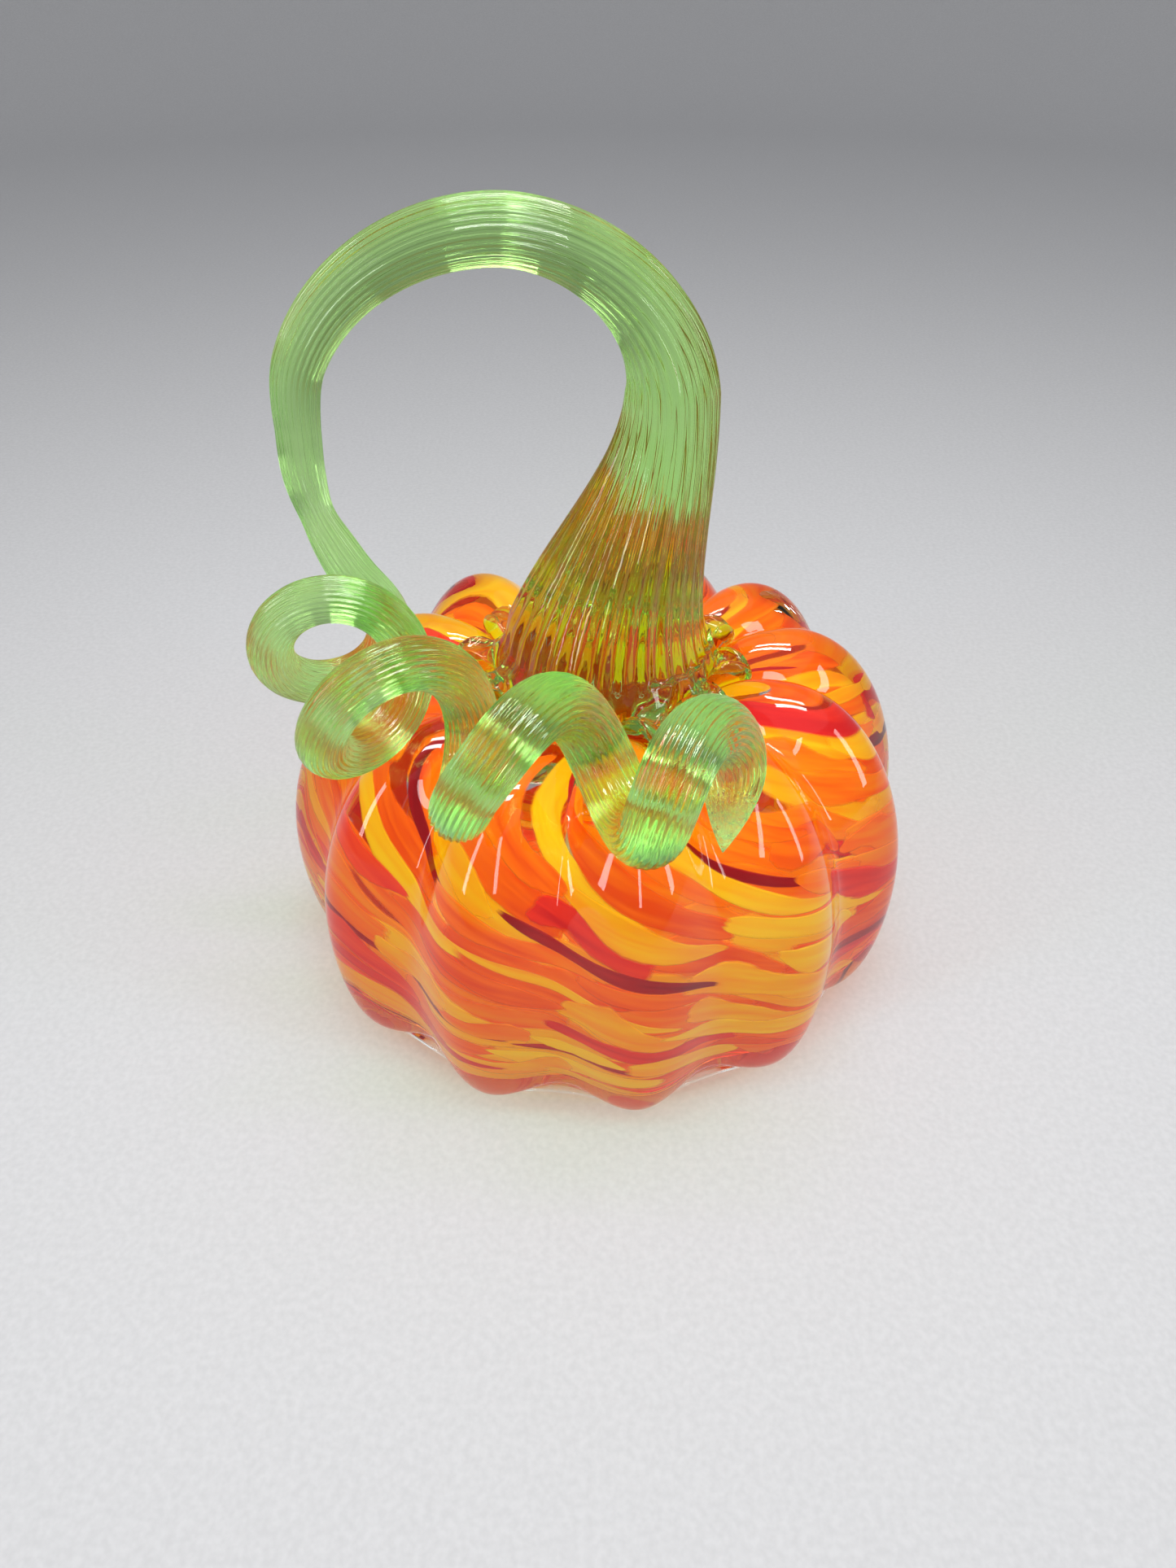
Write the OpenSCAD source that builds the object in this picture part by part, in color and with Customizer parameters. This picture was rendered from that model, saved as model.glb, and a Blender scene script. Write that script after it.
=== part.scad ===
// Hand-blown glass pumpkin with a curled stem, at its real size in millimetres.
// A hollow clear bubble carries chips of coloured glass, a thick clear casing with
// moulded ribs covers them, and a green gather closes the neck hole and is drawn out
// into the stem, its arch and the wound tendril. Nothing on it moves.
// Azimuths are measured from the front, -Y, towards the right, +X.

/* [Body] */
// Width across two opposite rib crests
body_d = 147; // [120:1:180]
// Height of the rib crests at the crown
body_h = 78.5; // [65:0.5:95]
// Height of the widest part of the body
belly_h = 31; // [24:0.5:38]
// Diameter of the circle that the rib ends stand on
foot_circle_d = 127; // [105:1:135]
// Diameter of the circle through the highest points of the ribs
crown_d = 85; // [70:1:95]
// Depth of the dip from the crown to the neck hole
dip_depth = 13; // [8:0.5:18]
// Rise of the hollow in the middle of the base
base_hollow = 9; // [4:0.5:14]
// Depth of the flat ground on each rib end
foot_flat = 0.35; // [0.3:0.05:0.6]
// How far the right side of the crown stands over the middle
crown_lean = 2.4; // [0:0.1:4]

/* [Ribs] */
// Number of ribs round the body
rib_count = 12; // [9:1:15]
// Azimuth of the rib nearest the front, in degrees
rib_azimuth = 7.5; // [-15:0.5:15]
// Depth of the grooves at the feet
groove_foot = 5; // [3:0.1:6]
// Depth of the grooves at the belly
groove_belly = 6; // [3:0.1:7]
// Depth of the creases at the crown
groove_crown = 8.5; // [5:0.1:9.5]

/* [Wall] */
// Thickness of the clear casing at the rib crests
casing_t = 6.5; // [6.3:0.1:9]
// Thickness of the layer that holds the coloured chips
chip_layer = 1.7; // [1.6:0.1:2.4]
// Thickness of one chip
chip_t = 0.6; // [0.4:0.05:0.7]
// Width of a chip at the belly
chip_w = 6; // [3:0.1:6.5]
// Gap between the tips of two chips in a strand
chip_tip_gap = 2; // [1:0.1:6]
// Wall of the inner bubble
bubble_t = 2.5; // [1.5:0.1:4]
// Diameter of the hole where the body was cracked off the pipe
neck_hole_d = 30; // [22:0.5:36]
// Gap between two layers of glass that are melted together
melt_gap = 0.45; // [0.4:0.05:0.6]

/* [Stem] */
// Diameter of the bell foot that the stem stands on
bell_d = 52; // [44:0.5:58]
// How far the foot's tongues run out into the grooves
tongue = 5; // [2:0.5:7]
// Thickness of the foot's edge
bell_edge = 2.5; // [1.5:0.1:3.5]
// Gap between the foot and the ribs under it
foot_gap = 0.95; // [0.85:0.05:1.1]
// Sideways place of the stem over the neck hole
bell_x = 1.6; // [0:0.1:3]
// Diameter of the neck where the arch begins
neck_d = 18.8; // [14:0.1:24]
// Diameter of the rod at the top of the arch
arch_d = 12.6; // [10:0.1:16]
// Diameter of the rod where the arch ends on the left
leg_d = 9; // [7:0.1:11]
// How much thinner the rod is where the leg bends towards the winding
leg_pinch = 2; // [0:0.1:3]
// Height of the neck's end above the neck hole
neck_rise = 71.5; // [60:0.5:85]
// Height of the arch's middle line above the neck hole
arch_rise = 101; // [90:0.5:115]
// Height of the arch's left end above the neck hole
leg_rise = 64.5; // [58:0.5:72]
// Sideways place of the neck's end
arch_right = 13.9; // [8:0.1:20]
// Sideways place of the arch's top, to the left
arch_top = 19; // [12:0.5:26]
// Sideways place of the arch's left end, to the left
arch_left = 60.5; // [54:0.5:66]

/* [Tendril] */
// Diameter of the rod where the winding begins
rod_d_first = 9.4; // [7:0.1:11]
// Diameter of the rod in the last turn
rod_d_last = 12.4; // [9:0.1:13]
// Diameter of the first turns, to the middle of the rod
loop_d_first = 25; // [22:0.1:28]
// Diameter of the last turn, to the middle of the rod
loop_d_last = 19.6; // [17:0.1:22]
// Clearance of the middle turns over the rib crests
loop_lift = 3; // [2:0.1:5]
// Turn at which the winding begins, counted from the first turn seen at the left
first_turn = -0.62; // [-0.7:0.01:-0.5]
// Turn at which the snipped tip ends
last_turn = 3.78; // [3.3:0.01:3.9]
// Length of the snipped taper, in turns
tip_turns = 0.16; // [0.08:0.01:0.3]

/* [Hidden] */

belly_r = body_d / 2;
foot_r = foot_circle_d / 2;
crown_r = crown_d / 2;
neck_r = neck_hole_d / 2;
neck_z = body_h - dip_depth;

// Sharpness of the rib crests, from narrow at the feet to broad lobes at the crown
rib_sharp_foot = 2.4;
rib_sharp_belly = 1.9;
rib_sharp_crown = 0.95;
// Share of the ribbing that reaches the coloured layer and the bubble's inside
layer_ribbing = 0.4;
inside_ribbing = 0.1;
layer_sharp = 2;

// Columns round the body and round the stem, whole numbers for each rib
casing_columns = 8 * rib_count;
bubble_columns = 4 * rib_count;
stem_columns = 4 * rib_count;
rod_sides = 14;
rings_per_turn = 22;

function rib_lobe(azimuth, sharp) = pow(abs(cos(rib_count * azimuth / 2)), sharp);
// The feet sink far enough for the flat to reach the columns beside each rib crest
foot_sink = foot_flat + groove_foot * (1 - rib_lobe(360 / casing_columns, rib_sharp_foot));

function mix(a, b, t) = a + (b - a) * t;
function ease(t) = t * t * (3 - 2 * t);
function unit(v) = v / norm(v);

// Outline of the body
// u is 0 at the middle of the base, 1 at the feet, 2 at the belly, 3 at the crown and 4 at the neck hole,
// and inset is the depth under the outer surface.
base_power = 2.2;
base_groove_power = 1.5;
dip_power = 1.5;
function floor_z(inset) = inset - foot_sink;
function outline(u, inset) =
    let (zone = min(3, floor(u)), t = u - zone)
    zone == 0 ? [(foot_r - inset) * t, floor_z(inset) + base_hollow * (1 - pow(t, base_power))] :
    zone == 1 ? [foot_r - inset + (belly_r - foot_r) * sin(90 * t),
                 mix(belly_h, floor_z(inset), cos(90 * t))] :
    zone == 2 ? [mix(crown_r, belly_r - inset, cos(90 * t)), mix(belly_h, body_h - inset, sin(90 * t))] :
                [mix(crown_r, neck_r, t),
                 neck_z - inset + dip_depth * (1 + cos(180 * pow(t, dip_power))) / 2];
outline_step = 0.02;
function along(u, inset) =
    outline(min(4, u + outline_step), inset) - outline(max(0, u - outline_step), inset);
function outward(u, inset) = let (d = unit(along(u, inset))) [d.y, -d.x];
function outline_mm(u, inset) = norm(along(u, inset)) / (min(4, u + outline_step) - max(0, u - outline_step));

function groove(u) =
    let (zone = min(3, floor(u)), t = u - zone)
    zone == 0 ? groove_foot * pow(t, base_groove_power) :
    zone == 1 ? mix(groove_foot, groove_belly, t) :
    zone == 2 ? mix(groove_belly, groove_crown, t) :
                groove_crown * cos(90 * t);
function rib_sharp(u) =
    u < 1 ? rib_sharp_foot :
    u < 2 ? mix(rib_sharp_foot, rib_sharp_belly, u - 1) :
    u < 3 ? mix(rib_sharp_belly, rib_sharp_crown, u - 2) : rib_sharp_crown;

// A point of the wall: ribbing is the share of the groove that is cut, sharp the shape of the rib crests
function wall_point(u, azimuth, inset, ribbing, sharp) =
    let (p = outline(u, inset),
         lobe = rib_lobe(azimuth - rib_azimuth, sharp),
         q = p - outward(u, inset) * ribbing * groove(u) * (1 - lobe),
         x = q.x * sin(azimuth),
         lean = crown_lean * x / belly_r * pow(q.y / body_h, 2))
    [x, -q.x * cos(azimuth), max(0, q.y + lean)];
function skin_point(u, azimuth, inset) = wall_point(u, azimuth, inset, 1, rib_sharp(u));
function layer_point(u, azimuth, inset) = wall_point(u, azimuth, inset, layer_ribbing, layer_sharp);

// A closed skin over rings of points, between a first and a last pole
function skin_faces(rings, n) =
    let (last = rings * n + 1)
    concat([for (i = [0:n - 1]) [0, 1 + i, 1 + (i + 1) % n]],
           [for (k = [0:rings - 2], i = [0:n - 1])
               let (a = 1 + k * n + i, b = 1 + k * n + (i + 1) % n) each [[a, a + n, b + n], [a, b + n, b]]],
           [for (i = [0:n - 1]) [last, last - n + (i + 1) % n, last - n + i]]);
function skin_points(first, rings, final) = concat([first], [for (ring = rings) each ring], [final]);
module skin(first, rings, final) {
    polyhedron(skin_points(first, rings, final), skin_faces(len(rings), len(rings[0])), convexity = 8);
}
function centre(points) = [for (i = [0:2]) (max([for (p = points) p[i]]) + min([for (p = points) p[i]])) / 2];
function azimuths(columns) = [for (i = [0:columns - 1]) rib_azimuth + 360 * i / columns];

// Clear casing
// Outer surface from the base up to the neck hole, then the smoother inner surface back down.
foot_u = [0.93, 0.985, 1.06, 1.18];
dip_u = [3, 3.3, 3.55, 3.75, 3.88, 4];
casing_outer_u = concat([0.4, 0.75], foot_u, [for (i = [2:5]) 1 + i / 6],
                        [for (i = [0:7]) 2 + i / 8], dip_u);
layer_u = concat([for (i = [1:3]) i / 3], [for (i = [1:5]) 1 + i / 5], [for (i = [1:7]) 2 + i / 7],
                 [3.2, 3.6, 4]);
function upside_down(list) = [for (i = [len(list) - 1:-1:0]) list[i]];
casing_rings = concat(
    [for (u = casing_outer_u) [for (a = azimuths(casing_columns)) skin_point(u, a, 0)]],
    [for (u = upside_down(layer_u)) [for (a = azimuths(casing_columns)) layer_point(u, a, casing_t)]]);

module outer_casing() {
    color([0.93, 0.95, 0.93, 0.35])
        skin([0, 0, outline(0, 0).y], casing_rings, [0, 0, outline(0, casing_t).y]);
}

// Inner bubble
// It lies close under the casing at the neck and in the base, and the chips lie between the two elsewhere.
layer_from_u = 0.35;
layer_to_u = 3.5;
layer_fade_u = 0.35;
function layer_open(u) =
    ease(max(0, min(1, (u - layer_from_u) / layer_fade_u, (layer_to_u - u) / layer_fade_u)));
function bubble_inset(u) = casing_t + mix(melt_gap, chip_layer, layer_open(u));
bubble_inner_u = [for (i = [0:7]) 4 - i / 2];
bubble_in = casing_t + chip_layer + bubble_t;
bubble_rings = concat(
    [for (u = layer_u) [for (a = azimuths(bubble_columns)) layer_point(u, a, bubble_inset(u))]],
    [for (u = bubble_inner_u)
        [for (a = azimuths(bubble_columns)) wall_point(u, a, bubble_in, inside_ribbing, layer_sharp)]]);

module inner_bubble() {
    color([0.85, 0.9, 0.85, 0.4])
        skin([0, 0, outline(0, bubble_inset(0)).y], bubble_rings, [0, 0, outline(0, bubble_in).y]);
}

// Coloured chips
// Slivers end to end along strands that swirl down the body, steep at the crown and nearly level at the base.
// A place on a strand is drop, from 0 at the crown to 1 at the base, even along the outline.
strands = 18;
chips_per_strand = 6;
strand_top_u = 3.1;
strand_bottom_u = 1.12;
strand_swirl = 155;
swirl_power = 1.7;
chip_spread = 0.8;
chip_stagger = 0.618;
stagger_share = 0.6;
crown_widening = 1;
base_widening = 0.75;
chip_inset = casing_t + (chip_layer - chip_t) / 2;
chip_places = [0.12, 0.37, 0.63, 0.88];
function chip_colour(strand, i) = (3 * strand + 7 * i + floor(strand / 4)) % 10;
function chip_end(strand, i) =
    let (start = stagger_share * ((strand * chip_stagger) % 1))
    pow((i + start) / (chips_per_strand + stagger_share), chip_spread);

// Length of the outline from the top of the strands down to each u
strand_steps = 60;
strand_u = [for (i = [0:strand_steps]) mix(strand_top_u, strand_bottom_u, i / strand_steps)];
function strand_piece(i) = norm(outline(strand_u[i], chip_inset) - outline(strand_u[i - 1], chip_inset));
strand_runs = [for (i = 0, run = 0; i <= strand_steps; i = i + 1,
                    run = run + (i <= strand_steps ? strand_piece(i) : 0)) run];
strand_fall = strand_runs[strand_steps];
strand_table = [for (i = [0:strand_steps]) [strand_runs[i] / strand_fall, strand_u[i]]];

// A point beside the middle line of a strand, side millimetres to its upper right
function strand_point(strand, drop, side, inset) =
    let (u = lookup(drop, strand_table),
         r = outline(u, chip_inset).x,
         run = r * PI / 180 * strand_swirl * swirl_power * pow(drop, swirl_power - 1),
         way = norm([run, strand_fall]),
         azimuth = 360 * strand / strands + strand_swirl * pow(drop, swirl_power))
    layer_point(u + side * run / way / outline_mm(u, chip_inset),
                azimuth + side * strand_fall / way / r * 180 / PI, inset);
module chip(strand, i) {
    from = chip_end(strand, i);
    to = chip_end(strand, i + 1);
    length = norm(strand_point(strand, to, 0, 0) - strand_point(strand, from, 0, 0));
    half_gap = chip_tip_gap / 2 * (to - from) / length;
    function place(f) = mix(from + half_gap, to - half_gap, f);
    function half_w(f) = sqrt(sin(180 * f)) / 2 * chip_w * mix(crown_widening, base_widening, place(f));
    function side_point(f, side, depth) =
        strand_point(strand, place(f), side * half_w(f), chip_inset + depth);
    skin(side_point(0, 0, chip_t / 2),
         [for (f = chip_places) [for (corner = [[1, 0], [-1, 0], [-1, 1], [1, 1]])
             side_point(f, corner[0], corner[1] * chip_t)]],
         side_point(1, 0, chip_t / 2));
}
module chips(from, to) {
    for (strand = [0:strands - 1], i = [0:chips_per_strand - 1])
        if (chip_colour(strand, i) >= from && chip_colour(strand, i) <= to) chip(strand, i);
}
module orange_chips() { color([1, 0.36, 0.02]) chips(0, 3); }
module yellow_chips() { color([1, 0.72, 0.02]) chips(4, 6); }
module red_chips() { color([0.86, 0.08, 0.05]) chips(7, 8); }
module dark_red_chips() { color([0.42, 0.02, 0.04]) chips(9, 9); }

// Middle line of the green rod: place and diameter at each ring
// The neck leans over to the right, the arch is two quarters of an oval and a leg leads to the winding.
neck_rings = 7;
arch_rings = 6;
leg_rings = 6;
arch_power_right = 1.06;
arch_power_left = 1.03;
right_power = 2;
left_power = 1.5;
bell_from = 9.8;
bell_power = 1.5;
function neck_line(t) =
    concat([mix(bell_x, arch_right, ease(t)), 0, neck_z + mix(bell_from, neck_rise, t)],
           mix(neck_d, bell_d, pow(1 - t, bell_power)));
function arch_line(x, rise, angle, power, d) =
    [mix(-arch_top, x, pow(cos(angle), power)), 0,
     neck_z + mix(rise, arch_rise, pow(sin(angle), power)), d];
function arch_right_line(t) =
    arch_line(arch_right, neck_rise, 90 * t, arch_power_right, mix(arch_d, neck_d, pow(1 - t, right_power)));
function arch_left_line(t) =
    arch_line(-arch_left, leg_rise, 90 * (1 - t), arch_power_left, mix(arch_d, leg_d, pow(t, left_power)));

// Winding: the azimuth of each turn, its angle up the shoulder, how far it has narrowed from the first
// diameter to the last, and its clearance over the crests in shares of loop_lift
turns = [[-83, 75, 0, 0], [-72, 74, 0, 0], [-43, 72, 0, 0.67], [-18, 71, 0.48, 1], [10.5, 68, 0.89, 1],
         [19, 63, 1, 3]];
turns_start = -1;
function rod_d(turn) = mix(rod_d_first, rod_d_last, ease(max(0, min(1, (turn - 0.5) / 2.5))));
function turn_centre(i) =
    let (row = turns[max(0, min(len(turns) - 1, i))],
         p = outline(2 + row[1] / 90, 0),
         loop_r = mix(loop_d_first, loop_d_last, row[2]) / 2,
         lift = loop_r + rod_d(i + turns_start) / 2 + row[3] * loop_lift,
         q = p + outward(2 + row[1] / 90, 0) * lift)
    [q.x * sin(row[0]), -q.x * cos(row[0]), q.y, loop_r];
function turn_knot(i) =
    i < 0 ? 2 * turn_centre(0) - turn_centre(1) :
    i >= len(turns) ? 2 * turn_centre(len(turns) - 1) - turn_centre(len(turns) - 2) : turn_centre(i);
function through(a, b, c, d, t) =
    (2 * b + (c - a) * t + (2 * a - 5 * b + 4 * c - d) * t * t + (3 * b - a - 3 * c + d) * t * t * t) / 2;
function winding_axis(turn) =
    let (s = turn - turns_start, i = min(len(turns) - 2, floor(s)))
    through(turn_knot(i - 1), turn_knot(i), turn_knot(i + 1), turn_knot(i + 2), s - i);
axis_step = 0.01;
function winding(turn) =
    let (c = winding_axis(turn),
         d = winding_axis(turn + axis_step) - winding_axis(turn - axis_step),
         side = unit([d.y, -d.x, 0]),
         a = 360 * turn)
    [for (i = [0:2]) c[i]] + c[3] * (cos(a) * side + sin(a) * [0, 0, 1]);
function tip_share(turn) = max(0, (turn - last_turn + tip_turns) / tip_turns);
tip_share_left = 0.12;
tip_power = 1.6;
function winding_line(turn) =
    concat(winding(turn), rod_d(turn) * mix(1, tip_share_left, pow(tip_share(turn), tip_power)));

// Leg from the arch's left end to the winding, leaving straight down and arriving along the winding
leg_pull = 80;
coil_pull = 72;
leg_start = [-arch_left, 0, neck_z + leg_rise];
leg_finish = winding(first_turn);
coil_way = unit(winding(first_turn + axis_step) - winding(first_turn));
function leg_line(t) =
    let (p = leg_start * (1 - ease(t)) + leg_finish * ease(t)
             + [0, 0, -leg_pull] * t * pow(1 - t, 2) - coil_way * coil_pull * t * t * (1 - t))
    concat(p, mix(leg_d, rod_d_first, ease(t)) - leg_pinch * pow(sin(180 * t), 2));

stem_line = concat(
    [for (i = [0:neck_rings - 1]) neck_line(i / neck_rings)],
    [for (i = [0:arch_rings - 1]) arch_right_line(i / arch_rings)],
    [for (i = [0:arch_rings - 1]) arch_left_line(i / arch_rings)],
    [for (i = [0:leg_rings]) leg_line(i / leg_rings)]);
winding_rings = ceil((last_turn - first_turn) * rings_per_turn);
tendril_line = [for (i = [0:winding_rings]) winding_line(mix(first_turn, last_turn, i / winding_rings))];

// Frames carried along the middle line without twist, each [across, other across]
rod_line = concat(stem_line, [for (i = [1:winding_rings]) tendril_line[i]]);
rod_points = [for (p = rod_line) [p.x, p.y, p.z]];
rod_end = len(rod_points) - 1;
joint_ring = len(stem_line) - 1;
function rod_way(i) = i == 0 ? [0, 0, 1] : unit(rod_points[min(rod_end, i + 1)] - rod_points[i - 1]);
function carried(across, way) = let (a = unit(across - (across * way) * way)) [a, cross(way, a)];
rod_frames = [for (i = 0, f = carried([0, -1, 0], rod_way(0)); i <= rod_end;
                   i = i + 1, f = carried(f[0], rod_way(min(i, rod_end)))) f];
function rod_ring(i, angles) =
    [for (a = angles)
        rod_points[i] + rod_line[i][3] / 2 * (cos(a) * rod_frames[i][0] + sin(a) * rod_frames[i][1])];

// Stem
// A plug fills the neck hole, and the foot follows the ribs under it and runs out into the grooves.
plug_r = neck_r - melt_gap;
plug_bottom = neck_z - bubble_in;
foot_shares = [0.2, 0.45, 0.7, 1];
edge_share = 0.99;
dip_r = crown_r - neck_r;
function bell_u(azimuth, share) =
    let (in_groove = 1 - rib_lobe(azimuth - rib_azimuth, 1),
         r = bell_d / 2 + tongue * (in_groove - 0.5))
    mix(4, 3 + (crown_r - r) / dip_r, share);
function plug_ring(height) =
    [for (a = azimuths(stem_columns)) let (p = skin_point(4, a, 0))
        [p.x * plug_r / neck_r, p.y * plug_r / neck_r, p.z + height]];
function foot_ring(share, height) =
    [for (a = azimuths(stem_columns)) skin_point(bell_u(a, share), a, 0) + [0, 0, height]];
stem_rings = concat(
    [plug_ring(plug_bottom - neck_z), plug_ring(foot_gap)],
    [for (share = foot_shares) foot_ring(share, foot_gap)],
    [foot_ring(edge_share, foot_gap + bell_edge)],
    [for (i = [0:len(stem_line) - 1]) rod_ring(i, azimuths(stem_columns))]);

module stem() {
    color([0.25, 0.55, 0.2, 0.7])
        skin([0, 0, plug_bottom], stem_rings, rod_points[joint_ring]);
}

// Tendril
// One unbroken rod, wound from the end of the leg to its snipped tip.
rod_angles = [for (k = [0:rod_sides - 1]) 360 * k / rod_sides];
tendril_rings = [for (i = [joint_ring:rod_end]) rod_ring(i, rod_angles)];

module tendril() {
    color([0.45, 0.8, 0.3, 0.7])
        skin(rod_points[joint_ring], tendril_rings, rod_points[rod_end]);
}

// The least gap between one stretch of the winding and another, at least half a turn on
function winding_gap(i, j) =
    norm(rod_points[i] - rod_points[j]) - (rod_line[i][3] + rod_line[j][3]) / 2;
echo(least_gap_in_tendril_mm = min([for (i = [joint_ring:rod_end], j = [joint_ring:rod_end])
    if (j - i > rings_per_turn / 2) winding_gap(i, j)]));

// The origin is the bottom centre of the whole object's box
reach = [for (rings = [casing_rings, stem_rings, tendril_rings], ring = rings) each ring];
box_middle = centre(reach);
module placed() { translate([-box_middle.x, -box_middle.y, 0]) children(); }

placed() inner_bubble();
placed() orange_chips();
placed() yellow_chips();
placed() red_chips();
placed() dark_red_chips();
placed() outer_casing();
placed() stem();
placed() tendril();
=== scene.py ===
# A hand-blown glass pumpkin: a hollow ribbed body of clear glass with chips of colour in its
# wall, and a green glass stem that arches over and winds into a tendril. Lengths are in
# millimetres round the body's axis until a mesh is made.
import math
import bpy
import numpy as np
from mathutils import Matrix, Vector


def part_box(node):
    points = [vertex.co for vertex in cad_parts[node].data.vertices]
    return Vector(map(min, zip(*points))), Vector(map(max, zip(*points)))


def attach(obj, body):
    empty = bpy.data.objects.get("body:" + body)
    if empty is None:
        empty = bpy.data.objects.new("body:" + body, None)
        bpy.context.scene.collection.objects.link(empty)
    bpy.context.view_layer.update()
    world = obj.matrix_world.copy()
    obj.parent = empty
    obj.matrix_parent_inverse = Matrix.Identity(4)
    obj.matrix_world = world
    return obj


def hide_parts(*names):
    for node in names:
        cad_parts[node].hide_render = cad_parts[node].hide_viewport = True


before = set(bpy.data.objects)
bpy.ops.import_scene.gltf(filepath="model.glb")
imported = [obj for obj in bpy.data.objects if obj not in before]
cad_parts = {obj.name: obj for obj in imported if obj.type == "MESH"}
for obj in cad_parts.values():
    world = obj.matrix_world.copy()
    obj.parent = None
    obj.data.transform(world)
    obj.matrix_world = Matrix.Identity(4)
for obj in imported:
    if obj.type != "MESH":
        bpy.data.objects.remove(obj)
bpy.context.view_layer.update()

# Wall of the body
# Clear glass in two gathers melted into one: the blown bubble, and a thick casing blown into a
# ribbed mould. It stands on its rib ends, and its crown dips to the hole where it left the pipe.
belly_r, belly_h = 73.5, 31
foot_r, foot_sink, base_hollow = 63.5, 1.215, 9
crown_r, crown_h, crown_lean = 42.5, 78.5, 2.4
neck_r, dip_depth = 15, 13
neck_z = crown_h - dip_depth
base_power, base_groove_power, dip_power = 2.2, 1.5, 1.5
rib_count, rib_azimuth, columns_per_rib = 12, 7.5, 28
groove_depth = {"foot": 5, "belly": 6, "crown": 8.5}
crest_sharpness = {"foot": 2.4, "belly": 1.9, "crown": 0.95}
crease_softness = 0.004
casing_t, wall_t = 6.5, 10.7
inside_ribbing, inside_sharpness = 0.1, 2
bell_r, tongue, tongue_sharpness = 26, 7.5, 4
dip_rows, seam_rows = 14, 8
way_step = 0.02
glass_bend = 1.5
clear_hue, clear_passing = (1, 1, 1, 1), (0.95, 0.96, 0.95, 1)
casing_cord_scale, casing_cord_depth = 45.0, 0.00012

casing_low, casing_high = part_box("outer_casing")
axis_x = (casing_low[0] + casing_high[0]) / 2
axis_y = (casing_low[1] + casing_high[1]) / 2


def mix(a, b, t):
    return a + (b - a) * t


def outline(u, inset):
    """Distance from the axis and height of the body's outline, inset under its skin. u is 0 in the
    middle of the base, 1 at the feet, 2 at the belly, 3 at the crown and 4 at the neck."""
    zone = np.clip(np.floor(u), 0, 3)
    t = np.clip(u - zone, 0, 1)
    turn = np.pi / 2 * t
    low = inset - foot_sink
    zones = [zone == 0, zone == 1, zone == 2]
    r = np.select(zones, [(foot_r - inset) * t,
                          foot_r - inset + (belly_r - foot_r) * np.sin(turn),
                          mix(crown_r, belly_r - inset, np.cos(turn))],
                  mix(crown_r, neck_r, t))
    z = np.select(zones, [low + base_hollow * (1 - t ** base_power),
                          mix(belly_h, low, np.cos(turn)),
                          mix(belly_h, crown_h - inset, np.sin(turn))],
                  neck_z - inset + dip_depth * (1 + np.cos(np.pi * t ** dip_power)) / 2)
    return r, z


def outline_way(u, inset):
    """Unit direction up the outline, and the millimetres for each unit of u."""
    before, after = np.maximum(0, u - way_step), np.minimum(4, u + way_step)
    (r0, z0), (r1, z1) = outline(before, inset), outline(after, inset)
    length = np.hypot(r1 - r0, z1 - z0)
    return (r1 - r0) / length, (z1 - z0) / length, length / (after - before)


def groove(u):
    """Depth of the grooves between the ribs."""
    foot, belly, crown = groove_depth.values()
    side = np.interp(u, [1, 2, 3], [foot, belly, crown])
    base = foot * np.clip(u, 0, 1) ** base_groove_power
    dip = crown * np.cos(np.pi / 2 * np.clip(u - 3, 0, 1))
    return np.where(u < 1, base, np.where(u < 3, side, dip))


def rib_lobe(azimuth, sharpness):
    """1 on the crest of a rib and nearly 0 in a groove."""
    wave = np.cos(np.radians(rib_count * (azimuth - rib_azimuth) / 2)) ** 2
    return ((wave + crease_softness) / (1 + crease_softness)) ** (sharpness / 2)


def wall_point(u, azimuth, inset, ribbing=1.0, sharpness=None):
    """A point of the wall. Azimuth runs from the front to the right, in degrees."""
    u, azimuth, inset = np.broadcast_arrays(np.asarray(u, float), azimuth, inset)
    if sharpness is None:
        sharpness = np.interp(u, [1, 2, 3], list(crest_sharpness.values()))
    r, z = outline(u, inset)
    up_r, up_z, _ = outline_way(u, inset)
    cut = ribbing * groove(u) * (1 - rib_lobe(azimuth, sharpness))
    r, z = r - up_z * cut, z + up_r * cut
    x = r * np.sin(np.radians(azimuth))
    y = -r * np.cos(np.radians(azimuth))
    lean = crown_lean * x / belly_r * (z / crown_h) ** 2
    return np.stack([x, y, np.maximum(0, z + lean)], axis=-1)


def foot_edge_u(azimuth):
    """Where the stem's foot ends on the dip: it runs further out in the grooves."""
    in_groove = 1 - rib_lobe(azimuth, tongue_sharpness)
    return 3 + (crown_r - bell_r - tongue * (in_groove - 0.5)) / (crown_r - neck_r)


def mesh_piece(name, points, faces):
    """A smooth mesh object from points round the body's axis."""
    mesh = bpy.data.meshes.new(name)
    placed = np.asarray(points) / 1000 + [axis_x, axis_y, 0]
    mesh.from_pydata(placed.tolist(), [], faces)
    mesh.polygons.foreach_set("use_smooth", [True] * len(mesh.polygons))
    piece = bpy.data.objects.new(name, mesh)
    bpy.context.scene.collection.objects.link(piece)
    return piece


def skin_faces(rows, around, start=0):
    """Faces of a closed skin over rows of points between two poles, all numbered from start."""
    here = np.arange(around)
    after = (here + 1) % around
    pairs = list(zip(here.tolist(), after.tolist()))
    faces = [(start, start + 1 + b, start + 1 + a) for a, b in pairs]
    row = start + 1 + np.arange(rows - 1)[:, None] * around
    quads = np.stack([row + here, row + after, row + after + around, row + here + around], axis=-1)
    faces += [tuple(q) for q in quads.reshape(-1, 4).tolist()]
    last = start + rows * around + 1
    end = last - around
    faces += [(last, end + a, end + b) for a, b in pairs]
    return faces


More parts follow.
